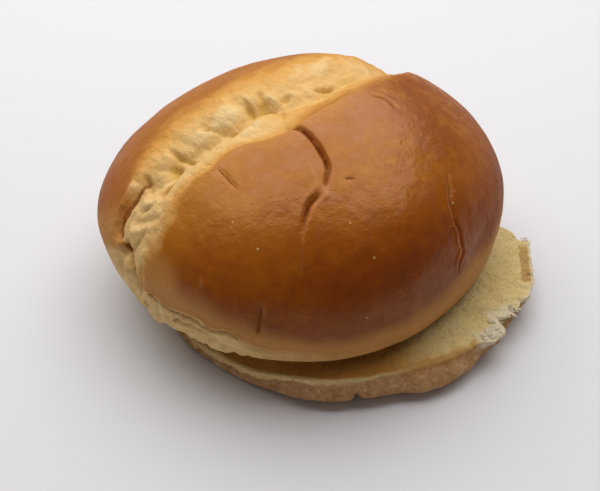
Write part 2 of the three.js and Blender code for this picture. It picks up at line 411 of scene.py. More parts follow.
def dome(azimuth, down):
    """The crown's plain outside: `down` is 0 at the crest and 1 at the rim. Above the widest level the
    reach is sin(angle)^(2/shoulder) of the outline and the rise is cos(angle)^(2/crest curve) of the
    dome's. Below it the flank draws in with the square of the way down, and the last of it turns under in
    a quarter circle. The crest is shifted by 1 - reach^2 of its offset, and the whole leans."""
    angle = np.clip(down / DOME_SHARE, 0, 1) * math.pi / 2
    below = np.clip((down - DOME_SHARE) / (1 - DOME_SHARE), 0, 1)
    rise = DOME_RISE * np.maximum(np.cos(angle), 0) ** (2 / CREST_CURVE)
    height = WIDEST_HEIGHT + rise - (WIDEST_HEIGHT - RIM_HEIGHT) * below
    reach = np.sin(angle) ** (2 / SHOULDER) - RIM_TUCK * below**2
    low = np.clip((RIM_HEIGHT + RIM_ROUNDING - height) / RIM_ROUNDING, 0, 1)
    turned_under = RIM_ROUNDING * (1 - np.sqrt(1 - 0.98 * low**2))
    radius = superellipse(azimuth, CROWN_RADII, CROWN_TURN, CROWN_SQUARENESS) * reach - turned_under
    to_crest = np.maximum(0, 1 - reach**2)
    x = radius * np.cos(azimuth) + CREST[0] * to_crest
    y = radius * np.sin(azimuth) + CREST[1] * to_crest
    return np.stack([x, y, height + LEAN[0] * x + LEAN[1] * y], axis=-1)


def split_place(base):
    """Where each point of the dome lies in the split: its run, how far it is from the valley's bottom to
    the front edge and to the back edge, as shares that pass 1 on the lobes, and how far it is past the
    front edge. Noise makes the +X end wander."""
    x, y, z = np.moveaxis(base, -1, 0)
    run = x + np.sign(x) * np.maximum(0, RUN_TURNS_DOWN - z)
    y = y + smooth(run, 24, 42) * 1.3 * rough(base, 11.0, 45)
    front, valley, back = (through(SPLIT_STATIONS, line, run) for line in (FRONT_EDGE, VALLEY, BACK_EDGE))
    return run, (valley - y) / (valley - front), (y - valley) / (back - valley), front - y


def fold_place(base, azimuth):
    """Each point's height above the fold, how strongly the fold and the lip's colour show there, and its
    share of the way from the fold down to the rim."""
    fold = by_azimuth(azimuth, FOLD_AZIMUTHS, FOLD_HEIGHTS)
    strength = by_azimuth(azimuth, FOLD_AZIMUTHS, FOLD_STRENGTHS)
    colour = by_azimuth(azimuth, FOLD_AZIMUTHS, LIP_COLOURS)
    above = base[..., 2] - fold
    return above, strength, colour, np.clip(-above / (fold - RIM_HEIGHT), 0, 1)


def tapered(at, fade_in, fade_out):
    """1 along a route, falling to 0 over those shares of its length at its two ends."""
    return np.sqrt(smooth(at, 0, fade_in) * (1 - smooth(at, 1 - fade_out, 1)))


def puffs(points, size, seed):
    """Rounded swellings from 0, in the sharp creases between them, to 1: the distance of noise from 0."""
    return np.minimum(1, 1.6 * np.abs(bumps(points, size, seed)))


def crown_relief(base, outward, azimuth):
    """How far each point of the crown stands out from the plain dome, and the fields its colours read.

    The split is a crease: its depth falls off with a power of the share of the way to each edge, steadily
    in front and puffed up behind, and the crust's edge stands over it as a step. The torn dough in it has
    listed dents, puffs of noise and fine ridges that run across the split. Each furrow is bell-shaped,
    with one steep side, and tapers at its ends. Below the fold the flank bulges as sin(share)."""
    x, y, z = np.moveaxis(base, -1, 0)
    run, to_front, to_back, front_side = split_place(base)
    in_front_wall = to_front >= 0
    share = np.where(in_front_wall, to_front, to_back)
    depth = through(SPLIT_STATIONS, SPLIT_DEPTH, run)
    power = np.where(in_front_wall, 1.15, 1.5)
    relief = -depth * np.clip(1 - share, 0, 1) ** power
    dip = bell(x, END_DIP["x"], END_DIP["half_length"]) * bell(y, END_DIP["y"], END_DIP["half_width"])
    relief -= END_DIP["depth"] * dip

    open_end = smooth(-run, 33, 45)
    wavering = front_side + 0.35 * bumps(base, 3.5, 43) + open_end * 1.3 * rough(base, 4.0, 44, 2)
    step = 0.5 * smooth(wavering, -0.35, 0.45) * np.exp(-(np.maximum(front_side, 0) / 7) ** 2)
    relief += step * (1 - open_end)

    dough = 1 - smooth(share, 0.8, np.where(in_front_wall, 1.0, 1.2))
    swelling = 0.6 * (puffs(base, 8.5, 11) - 0.5) + 0.28 * rough(base, 2.8, 21)
    swelling *= np.where(in_front_wall, 0.35, 1) + 0.2 * open_end
    ridges = 0.16 * rough(base * [1, 0.25, 0.25], 1.3, 31, 2)
    ridges += open_end * 0.3 * rough(base * [1, 0.45, 0.6], 2.2, 33, 4)
    crease = -0.5 * bell(to_back - 0.03, 0, 0.09) * in_between(run, -30, 20)
    for width, crease_depth, route in DOUGH_CREASES:
        distance, at, _ = from_route(base, route, outward)
        crease = crease - crease_depth * tapered(at, 0.25, 0.25) * np.exp(-distance / width)
    dents = np.zeros_like(x)
    for middle_x, middle_y, length, width, turn, height in DOUGH_SHAPES:
        along, across = turned(x - middle_x, y - middle_y, -turn)
        dents += height * np.exp(-((along / length) ** 2 + (across / width) ** 2) ** 1.4)
    shaped = dents + swelling + crease
    relief += dough * (shaped + ridges)

    nearest = np.full_like(x, 1e9)
    crack, dark, light = np.zeros_like(x), np.zeros_like(x), np.zeros_like(x)
    unsteady = 1 + 0.25 * bumps(base, 1.7, 42)
    for half_width, height, darkness, fades, route in FURROWS:
        distance, at, side = from_route(base, route, outward)
        taper = tapered(at, *fades)
        width = half_width * (0.35 + 0.65 * taper) * unsteady
        if height < DEEP_FURROW:
            width = width * np.where(side > 0, SLOPING_SIDE, STEEP_SIDE)
        relief += height * bell(distance, 0, np.maximum(width, 0.4)) * taper
        light = np.maximum(light, -darkness * bell(distance, 0, width) * taper)
        if darkness > 0:
            offset = distance / width
            closer = offset < nearest
            nearest = np.where(closer, offset, nearest)
            crack = np.where(closer, side * offset, crack)
            dark = np.where(closer, darkness * taper * (1 - smooth(offset, 3, 6)), dark)

    above, strength, lip_colour, down_lip = fold_place(base, azimuth)
    wavy = above + 0.8 * bumps(base, 6.0, 51) + 0.5 * bumps(base, 2.2, 52) + 0.2 * bumps(base, 0.9, 53)
    fold = strength * bell(wavy, 0, 0.5)
    bulge = 1.3 - 0.95 * smooth(np.degrees(azimuth) % 360, 187, 200)
    bulge = bulge * np.sin(math.pi * down_lip) ** 0.7 * (above < 0)
    relief += strength * (bulge + 0.5 * bell(wavy, 1.0, 0.7))
    relief -= 1.2 * fold
    second_fold = strength * bell(wavy, -2.6 + 1.2 * bumps(base, 9.0, 54), 0.3)
    second_fold *= smooth(bumps(base, 7.0, 55), -0.3, 0.2)
    relief -= 0.9 * second_fold
    lip_zone = lip_colour * (1 - smooth(wavy, -0.7, 0.4 + 1.6 * (1 - strength)))
    lip_puffs = 0.75 * (puffs(base * [1, 1, 1.8], 4.2, 61) - 0.5)
    relief += lip_zone * strength * (lip_puffs + 0.35 * rough(base, 1.8, 62))

    tan_height = by_azimuth(azimuth, TAN_AZIMUTHS, TAN_HEIGHTS)
    tan = smooth(tan_height - z + 1.6 * rough(base, 9.0, 91, 2), -3.5, 4.5)
    crust = (1 - dough) * (1 - lip_zone)
    crust_bumps = 0.15 * bumps(base, 7.0, 82) + 0.035 * rough(base, 3.2, 81)
    relief += 0.35 * rough(base, 26, 71, 2) + crust * crust_bumps

    return relief, {
        "front_side": wavering,
        "to_back": np.where(in_front_wall, -to_front, to_back),
        "run": run,
        "hollow": dough * smooth(-shaped, 0.15, 1.5),
        "ridge": dough * smooth(shaped, 0.1, 0.8),
        "crack": crack,
        "dark": dark,
        "light": light,
        "second_fold": second_fold,
        "above_fold": wavy,
        "fold": strength,
        "lip": lip_zone,
        "tan": tan,
        "height": z,
    }


def crown_underside(rim, rings):
    """The cut underside, from the rim's loop inwards: flat at the resting height, curling up to the rim
    with the square of an S-curve of the share of the radius, with a fine cut crumb."""
    share = np.linspace(1, 0, rings + 1)[1:-1, None]
    flat = HEEL_THICKNESS + REST_GAP
    curl = smooth(share, RESTING_SHARE, 1) ** 2
    z = flat + (rim[None, :, 2] - flat) * curl
    inner = np.stack([rim[None, :, 0] * share, rim[None, :, 1] * share, z], axis=-1)
    inner[..., 2] += 0.12 * np.abs(rough(inner, 1.8, 91)) * np.minimum(1, (1 - share) * 12)
    return inner


def make_crown(cells=276, rings=15):
    """The crown: a square sheet bent into a dome, then rings across the underside to a pole. A sheet point
    (s, t) goes to the disc point (s sqrt(1 - t^2/2), t sqrt(1 - s^2/2)), whose radius is the way down."""
    s, t = np.meshgrid(crowded(cells, -0.2, 0.35, 0.7), crowded(cells, -0.02, 0.2, 1.1), indexing="ij")
    u, v = s * np.sqrt(1 - t * t / 2), t * np.sqrt(1 - s * s / 2)
    azimuth, down = np.arctan2(v, u), np.hypot(u, v)
    base = dome(azimuth, down)
    outward = sheet_normals(base)
    relief, fields = crown_relief(base, outward, azimuth)
    sheet = base + outward * relief[..., None]
    sheet[..., :2] += CROWN_CENTRE

    index = np.arange(sheet[..., 0].size).reshape(s.shape)
    loop = np.concatenate([index[:-1, 0], index[-1, :-1], index[:0:-1, -1], index[0, :0:-1]])
    rim = sheet.reshape(-1, 3)[loop] - [*CROWN_CENTRE, 0]
    inner = crown_underside(rim, rings)
    inner[..., :2] += CROWN_CENTRE
    pole = np.array([[*CROWN_CENTRE, HEEL_THICKNESS + REST_GAP]])
    points = np.concatenate([sheet.reshape(-1, 3), inner.reshape(-1, 3), pole])

    under = index.size + np.arange(inner[..., 0].size).reshape(inner.shape[:2])
    bands = grid_faces(np.concatenate([loop[None], under]), closed=True)
    fan = fan_faces(under[-1], len(points) - 1)
    extra = len(points) - index.size
    fields = {name: np.concatenate([values.ravel(), np.zeros(extra)]) for name, values in fields.items()}
    fields["cut"] = np.concatenate([np.zeros(index.size), np.ones(extra)])
    return build("crown_bread", points, [grid_faces(index), bands[:, ::-1], fan[:, ::-1]], fields)


# ---- The heel ----

# The cut face's edge, against the plain outline, at azimuths in degrees: torn between 268 and 325, where
# the knife stopped short.
EDGE_AZIMUTHS = [
    0, 180, 190, 198, 207, 214, 224, 230, 235, 241, 248, 254, 261, 264, 268, 269.6, 271.2, 273.5, 276.2,
    278, 279.2, 280.6, 281.8, 284.4, 287.8, 290.1, 292.3, 295.8, 299.5, 304, 308.6, 313.4, 318, 319.6,
    320.4, 321.2, 323.1, 325.3, 327.3, 330, 336, 345, 360,
]
EDGE_OFFSETS = [
    -1.2, 0.8, 1, 0.9, 0.5, 0.2, -0.7, -1.3, -2.2, -2.5, -2.8, -2.1, -1.4, -1, -0.6, 0.4, 1.9, 1.4, 2.3,
    1, -0.9, -1.3, -0.2, 1, 1.6, 1.6, 2.7, 3.1, 3, 2.5, 2.2, 1.9, 2, 2.6,
    2, -0.6, -1.3, -2, -3, -4.6, -4.2, -3, -1.2,
]
# The widest outline, against the plain one.
SIDE_AZIMUTHS = [
    0, 180, 205, 215, 222, 227, 233, 242, 248, 258, 262,
    266, 272, 278, 284, 291, 300, 316, 322, 330, 345, 360,
]
SIDE_OFFSETS = [
    -0.6, 0.3, 0.2, 0.1, -0.3, -1, -2, -2.2, -0.7, -0.5, -0.7,
    -1.1, -1.5, -1.4, -1.2, -1, 0, 0, -1, -3.2, -2.2, -0.6,
]
# How far the cut face droops at its edge.
DROOP_AZIMUTHS = [
    0, 90, 125, 150, 165, 172, 177, 180, 184, 190, 195,
    201, 207, 213, 220, 228, 250, 290, 316, 330, 345, 360,
]
DROOPS = [
    0.8, 0.8, 1.6, 3.6, 5.2, 5.9, 5.8, 5.2, 4.4, 3.9, 3.3,
    2.6, 1.4, 0.5, 0.15, 0.1, 0.1, 0, 0, 0.2, 0.6, 0.8,
]
THINNING_WIDTH = 36.0  # how far in from its edge the heel starts to thin
# A groove in the side under the torn edge.
UNDERCUT_AZIMUTHS = [0, 262, 270, 282, 292, 300, 316, 326, 360]
UNDERCUTS = [0, 0, 0.9, 2.2, 1.4, 0.6, 0.6, 0, 0]
NICK = {"azimuth": 229, "half_width": 1.2, "slant": 1.6, "depth": 1.9}
CENTRE_SHARE = 0.08  # the innermost ring's share of the cut face's radius


def heel_lines(azimuth):
    """The heel's outlines at each azimuth: the cut face's edge, the widest outline and the foot."""
    plain = superellipse(azimuth, HEEL_RADII, HEEL_TURN, HEEL_SQUARENESS) + HEEL_SWELL * np.cos(3 * azimuth)
    edge = plain - TOP_INSET + by_azimuth(azimuth, EDGE_AZIMUTHS, EDGE_OFFSETS)
    edge = edge + (0.1 + 0.3 * torn_zone(azimuth)) * rough(polar(HEEL_RADII[0], azimuth, 0.0), 2.6, 161)
    widest = plain + by_azimuth(azimuth, SIDE_AZIMUTHS, SIDE_OFFSETS)
    thickness = 1 - by_azimuth(azimuth, DROOP_AZIMUTHS, DROOPS) / HEEL_THICKNESS
    return edge, widest, widest - FOOT_INSET * thickness**1.5


def torn_zone(azimuth):
    """1 where the edge is torn, 0 where it was sliced."""
    degrees = np.degrees(azimuth) % 360
    return smooth(degrees, 266, 270) * (1 - smooth(degrees, 320, 326))


def heel_face(azimuth, share):
    """The cut face: level, hanging down to its rim with the square of the way across the droop's width."""
    edge, _, _ = heel_lines(azimuth)
    radius = edge * share
    droop = by_azimuth(azimuth, DROOP_AZIMUTHS, DROOPS)
    hang = droop * np.clip(1 - (edge - radius) / THINNING_WIDTH, 0, 1)
    return polar(radius, azimuth, HEEL_THICKNESS - FACE_SINK - hang)


def heel_side(azimuth, down):
    """The crust side, from the cut face's edge to the foot: the straight line between them, bulging as
    a power of sin(down) to the widest outline, with a groove under the torn edge."""
    edge, widest, foot = heel_lines(azimuth)
    edge = edge + EDGE_ROUNDING
    top = HEEL_THICKNESS - SIDE_SINK - by_azimuth(azimuth, DROOP_AZIMUTHS, DROOPS)
    bulge = widest - (edge + foot) / 2
    radius = edge + (foot - edge) * down + bulge * np.sin(math.pi * np.minimum(down, 1)) ** 1.15
    radius -= by_azimuth(azimuth, UNDERCUT_AZIMUTHS, UNDERCUTS) * bell(down, 0.17, 0.1)
    return polar(radius, azimuth, top * (1 - down**0.82))


def make_heel(columns=720, face_rings=62, side_rings=30, base_rings=10):
    """The heel, ring by ring: from a pole out over the cut face, down the side, and in under the base."""
    turn = np.linspace(0, 2 * math.pi, columns, endpoint=False)[None, :]
    hidden = np.linspace(CENTRE_SHARE, 0.5, 8)[:, None]
    seen = np.linspace(0.5, 1, face_rings)[1:, None]
    share = np.concatenate([hidden, seen])
    face = heel_face(turn, share)
    down = np.linspace(0, 1, side_rings + 1)[1:, None]
    side = heel_side(turn, down)
    edge, _, foot = heel_lines(turn)
    inwards = np.linspace(1, 0, base_rings + 1)[1:-1, None]
    base = polar(foot * inwards, turn, 0.0)

    open_crumb = np.minimum(1, (share - CENTRE_SHARE) * 8) * np.ones_like(turn)
    torn = torn_zone(turn) * smooth(share, 0.88, 1)
    grain = 0.28 * rough(face, 3.2, 101, 4) - 0.12 * pits(face * [1, 1, 0.2], 2.2, 111)
    grain = grain + torn * 0.55 * rough(face, 2.4, 121, 4)
    face[..., 2] += open_crumb * grain * (1 - 0.75 * smooth(share, 0.96, 1) * (1 - torn))
    rim_fade = np.minimum(1, down * 5)
    spread = side.copy()
    spread[..., 2] *= 1.6
    bumpy = 0.22 * rough(spread, 4.5, 131) + 0.12 * rough(spread, 1.2, 141, 2)
    bumpy += 0.6 * torn_zone(turn) * rough(spread, 2.6, 151) * (1 - smooth(down, 0.25, 0.45))
    low_side = in_between(np.degrees(turn), 175, 222, 12)
    bumpy += 0.4 * low_side * rough(spread, 1.7, 171) * (1 - smooth(down, 0.3, 0.7))
    nick_at = NICK["azimuth"] + NICK["slant"] * (down - 0.5) + 0.6 * bumps(spread, 1.3, 181)
    nick = bell(np.degrees(turn), nick_at, NICK["half_width"]) * smooth(down, 0.15, 0.6)
    outwards = (bumpy * rim_fade - NICK["depth"] * nick) * (1 - smooth(down, 0.93, 1))
    side[..., 0] += outwards * np.cos(turn)
    side[..., 1] += outwards * np.sin(turn)

    rings = np.concatenate([face, side, base])
    points = np.concatenate([rings.reshape(-1, 3), [[0, 0, HEEL_THICKNESS - FACE_SINK], [0, 0, 0]]])

    def field(on_face, on_side, on_base):
        whole = np.ones_like(turn)
        parts = [on_face * whole, on_side * whole, on_base * np.ones_like(inwards) * whole]
        return np.concatenate([part.ravel() for part in parts] + [[parts[0].flat[0], parts[2].flat[-1]]])

    ripped = in_between(np.degrees(turn) % 360, 270, 287, 2) * smooth(share, 0.89, 0.96)
    white_on_face = np.maximum(ripped, torn_zone(turn) * smooth(share, 0.982, 0.996))
    fields = {
        "side_down": field(0 * share, down, 1),
        "from_edge": field(edge * (1 - share), -down, -1),
        "torn": field(white_on_face, torn_zone(turn) * (1 - smooth(down, 0.12, 0.3)), 0),
        "azimuth": field(np.degrees(turn) + 0 * share, np.degrees(turn) + 0 * down, 0),
        "height": field(face[..., 2], side[..., 2], 0),
    }
    return build("heel_bread", points, body_faces(len(rings), columns), fields)


def blob(middle, radii, turn, seed, columns=18, rings=11):
    """A lump of torn crumb: an ellipsoid pushed in and out by noise, as points and faces."""
    around = np.linspace(0, 2 * math.pi, columns, endpoint=False)[None]
    down = np.linspace(0, math.pi, rings + 1)[:, None]
    unit = polar(np.sin(down), around, np.cos(down))
    shaped = unit * (1 + 0.35 * rough(unit * 3.0 + seed * 7.0, 2.0, seed))[..., None] * radii
    x, y = turned(shaped[..., 0], shaped[..., 1], turn)
    points = np.stack([x, y, shaped[..., 2]], axis=-1) + middle
    points = np.concatenate([points[1:-1].reshape(-1, 3), points[:1, 0], points[-1:, 0]])
    return points, *body_faces(rings - 1, columns)


def fibre(start, direction, length, width, seed, sides=6, steps=9):
    """A torn thread of crumb: a round section carried along a drooping curve, tapering as 1 - share^2."""
    share = np.linspace(0, 1, steps)[:, None]
    direction = direction / np.linalg.norm(direction)
    sway = [bumps(share * 2 + [axis * 5.0, seed, 0.5], 1.0, seed + axis) for axis in range(3)]
    centre = start + direction * length * share + 0.35 * length * np.stack(sway, -1) * share**1.5
    side = np.cross(direction, [0, 0, 1.0])
    side /= np.linalg.norm(side)
    other = np.cross(side, direction)
    around = np.linspace(0, 2 * math.pi, sides, endpoint=False)[None, :, None]
    radius = (width / 2 * (1 - 0.97 * share**2))[:, None]
    ring = centre[:, None] + radius * (np.cos(around) * side + np.sin(around) * other)
    points = np.concatenate([ring.reshape(-1, 3), centre[:1], centre[-1:]])
    quads, triangles = body_faces(steps, sides)
    return points, quads[:, ::-1], triangles[:, ::-1]


# Heaps of small lumps: azimuth, half spread in degrees, how far in from the plain outline, half spread,
# height, count and largest radius.
HEAPS = [
    (273.6, 2.6, 1.4, 1.5, 8.65, 30, 1.25),
    (270.2, 1.0, 1.2, 0.8, 8.3, 10, 0.8),
    (277.0, 1.0, 2.6, 1.2, 8.8, 8, 0.9),
    (285.2, 2.4, 0.6, 1.0, 9.0, 14, 0.7),
    (320.0, 0.7, 0.4, 0.8, 8.6, 6, 0.5),
]
# Threads of crumb: root, direction, count and length.
FIBRE_ROOTS = [
    ((13.2, -45.4, 9.1), (0.75, -0.65, 0.05), 12, 2.0),
    ((2.6, -47.9, 8.6), (-0.1, -1.0, -0.3), 8, 1.2),
    ((6.6, -47.6, 8.6), (0.5, -0.8, -0.1), 9, 1.2),
    ((38.2, -31.3, 8.7), (0.9, -0.25, 0.05), 8, 2.0),
]


def make_torn_crumb():
    """The lumps and threads of crumb that stand up along the torn edge, as one piece."""
    chance = np.random.default_rng(5)
    parts = []
    for azimuth, spread, inwards, half_depth, height, count, largest in HEAPS:
        for number in range(count):
            angle = math.radians(azimuth + spread * chance.uniform(-1, 1))
            outline = superellipse(angle, HEEL_RADII, HEEL_TURN, HEEL_SQUARENESS)
            radius = outline - inwards + half_depth * chance.uniform(-1, 1)
            middle = polar(radius, angle, height + 0.2 * chance.uniform(-1, 1))
            size = largest * chance.uniform(0.35, 1)
            radii = size * chance.uniform(0.8, 1.3), size * chance.uniform(0.6, 1.0), 0.55 * size
            parts.append(blob(middle, radii, chance.uniform(0, 180), 7 + number))
    for root, direction, count, length in FIBRE_ROOTS:
        for number in range(count):
            start = np.array(root) + chance.normal(0, [0.6, 0.5, 0.2])
            way = np.array(direction) + chance.normal(0, [0.35, 0.35, 0.2])
            long, wide = length * chance.uniform(0.5, 1.1), chance.uniform(0.14, 0.34)
            parts.append(fibre(start, way, long, wide, number))
    points, quads, triangles, total = [], [], [], 0
    for part_points, part_quads, part_triangles in parts:
        points.append(part_points)
        quads.append(part_quads + total)
        triangles.append(part_triangles + total)
        total += len(part_points)
    faces = np.concatenate(quads), np.concatenate(triangles)
    return build("torn_crumb", np.concatenate(points), faces, {})


# ---- Materials ----


class Number:
    """A number in a material: it wraps a node's output, and sums on it add Math nodes."""

    def __init__(self, paint, socket):
        self.paint = paint
        self.socket = socket

    def maths(self, operation, *values, clamp=False):
        settings = {"operation": operation, "use_clamp": clamp}
        return self.paint.number("ShaderNodeMath", settings, dict(enumerate(values)))

    def __add__(self, other):
        return self.maths("ADD", self, other)

    def __sub__(self, other):
        return self.maths("SUBTRACT", self, other)

    def __mul__(self, other):
        return self.maths("MULTIPLY", self, other)

    def __rsub__(self, other):
        return self.maths("SUBTRACT", other, self)

    __radd__ = __add__
    __rmul__ = __mul__

    def limited(self):
        return self.maths("ADD", self, 0, clamp=True)

    def above(self, start, end):
        """0 below start and 1 above end, with an S-curve between; start may be the greater."""
        inputs = {"Value": self, "From Min": start, "From Max": end}
        return self.paint.number("ShaderNodeMapRange", {"interpolation_type": "SMOOTHSTEP"}, inputs)

    def within(self, low, low_full, high_full, high):
        """1 between the inner two numbers, and 0 outside the outer two."""
        return self.above(low, low_full) * self.above(high, high_full)


class Paint:
    """A material's nodes, with one Principled shader."""

    def __init__(self, name, **constants):
        self.material = bpy.data.materials.new(name)
        self.material.use_nodes = True
        self.tree = self.material.node_tree
        self.shader = self.tree.nodes["Principled BSDF"]
        for socket, value in constants.items():
            self.shader.inputs[socket.replace("_", " ")].default_value = value

    def node(self, kind, settings, inputs):
        """A node of that type, with its settings and its sockets' values and links."""
        node = self.tree.nodes.new(kind)
        for name, value in settings.items():
            setattr(node, name, value)
        for socket, value in inputs.items():
            self.plug(node.inputs[socket], value)
        return node

    def plug(self, socket, value):
        if isinstance(value, Number):
            value = value.socket
        if isinstance(value, bpy.types.NodeSocket):
            self.tree.links.new(value, socket)
        elif socket.type == "RGBA":
            socket.default_value = (*value, 1)
        else:
            socket.default_value = value

    def number(self, kind, settings, inputs):
        return Number(self, self.node(kind, settings, inputs).outputs[0])

    def fields(self, *names):
        """The mesh's own fields of those names."""
        nodes = [self.node("ShaderNodeAttribute", {"attribute_name": name}, {}) for name in names]
        return [Number(self, node.outputs["Fac"]) for node in nodes]

    def place(self):
        """The point's place on the object, in metres."""
        return self.node("ShaderNodeTexCoord", {}, {}).outputs["Object"]

    def noise(self, size, detail, stretch=(1, 1, 1)):
        """Noise from about -1 to 1, with lumps of that size in millimetres."""
        place = {0: self.place(), 1: stretch}
        stretched = self.node("ShaderNodeVectorMath", {"operation": "MULTIPLY"}, place).outputs[0]
        inputs = {"Vector": stretched, "Scale": 1 / (size * MM), "Detail": detail}
        return self.number("ShaderNodeTexNoise", {}, inputs) * 2 - 1

    def spots(self, spacing, radius):
        """1 inside small round spots scattered that far apart, in millimetres."""
        inputs = {"Vector": self.place(), "Scale": 1 / (spacing * MM)}
        away = self.number("ShaderNodeTexVoronoi", {}, inputs)
        return away.above(radius / spacing, 0.4 * radius / spacing)

    def ramp(self, value, *colours):
        """The colours in turn, evenly spaced as the value goes from 0 to 1, or each after its own place."""
        node = self.node("ShaderNodeValToRGB", {}, {"Fac": value})
        stops = node.color_ramp.elements
        while len(stops) < len(colours):
            stops.new(1)
        for number, (stop, colour) in enumerate(zip(stops, colours)):
            *place, red, green, blue = colour
            stop.position = place[0] if place else number / (len(colours) - 1)
            stop.color = (red, green, blue, 1)
        return node.outputs["Color"]

    def layers(self, colour, *coats):
        """The colour with each coat laid over it in turn: how much of it shows, and its colour."""
        for share, coat in coats:
            inputs = {0: share, 6: colour, 7: coat}
            colour = self.node("ShaderNodeMix", {"data_type": "RGBA"}, inputs).outputs[2]
        return colour

    def finish(self, colour, roughness, height):
        """Links the colour, the roughness and a bump height in millimetres to the shader."""
        bump = self.node("ShaderNodeBump", {}, {"Distance": MM, "Height": height})
        self.plug(self.shader.inputs["Base Color"], colour)
        self.plug(self.shader.inputs["Roughness"], roughness)
        self.plug(self.shader.inputs["Normal"], bump.outputs["Normal"])
        return self.material


# Colours of dough by how far it baked, each after its place from 0 to 1: pale torn dough to deep brown
# glazed crust.
BAKED = [
    (0, 0.81, 0.565, 0.24),
    (0.2, 0.77, 0.445, 0.14),
    (0.38, 0.67, 0.32, 0.065),
    (0.55, 0.47, 0.165, 0.014),
    (0.7, 0.355, 0.092, 0.003),
    (0.85, 0.235, 0.042, 0.001),
    (1, 0.13, 0.018, 0.0005),
]
# Painted shade in the hollows of the torn dough.
DOUGH_HOLLOW_SHADE = (0.60, 0.37, 0.07)
DOUGH_RIDGE = (0.88, 0.68, 0.36)
# Tan of the dough towards the split's -X end, darker partly as painted shade where the end faces away from
# the light.
DOUGH_TAN_AND_SHADE = (0.76, 0.50, 0.21)
TOASTED_SPOT = (0.42, 0.12, 0.012)
CRUST_TAN = (0.54, 0.25, 0.065)
GILT = (0.52, 0.19, 0.006)
# Painted sheen: the pink of the overhead light's reflection, in patches on the top of the front lobe.
PAINTED_SHEEN_PINK = (0.62, 0.28, 0.14)
AMBER = (0.52, 0.21, 0.02)
SPECK = (0.62, 0.36, 0.14)
BLEMISH = (0.16, 0.03, 0.002)
CRACK_EDGE = (0.28, 0.075, 0.005)
# Dark core of the cracks: deep crust colour and painted shade inside them.
CRACK_CORE_SHADE = (0.19, 0.036, 0.001)
PALE_LINE = (0.60, 0.28, 0.08)
# Brown of the fold's crease, with painted shade under the fold.
FOLD_CREASE_SHADE = (0.17, 0.075, 0.02)
FOLDED_EDGE = (0.76, 0.50, 0.22)
LIP_SHADES = (0.48, 0.28, 0.09), (0.77, 0.52, 0.22), (0.89, 0.69, 0.38)
CUT_SHADES = (0.52, 0.36, 0.14), (0.72, 0.55, 0.26), (0.82, 0.68, 0.40)
CRUMB_SHADES = (0.53, 0.38, 0.13), (0.77, 0.60, 0.265), (0.85, 0.72, 0.395)
EDGE_LINE = (0.50, 0.22, 0.045)
SKIN_PATCH = (0.45, 0.23, 0.065)
# Painted shade on the heel's face where the crown overhangs it, warm with the crust's colour.
FACE_SHADE_UNDER_CROWN = (0.57, 0.245, 0.03)
# Pale crumb at the heel's thin edge, lightened further as a painted highlight where the edge catches light.
PALE_CRUMB_HIGHLIGHT = (0.88, 0.62, 0.29)
SIDE_SHADES = (0.27, 0.13, 0.045), (0.48, 0.255, 0.105), (0.69, 0.45, 0.225)
SIDE_TOP = (0.42, 0.17, 0.035)
# Painted shade at the foot of the heel's side, where it meets the table.
FOOT_SHADE = (0.25, 0.115, 0.04)
NICK_SHADE = (0.12, 0.05, 0.015)
TORN_WHITE = (0.80, 0.70, 0.46)
WHITE_SHADES = (0.66, 0.52, 0.30), (0.86, 0.78, 0.60)


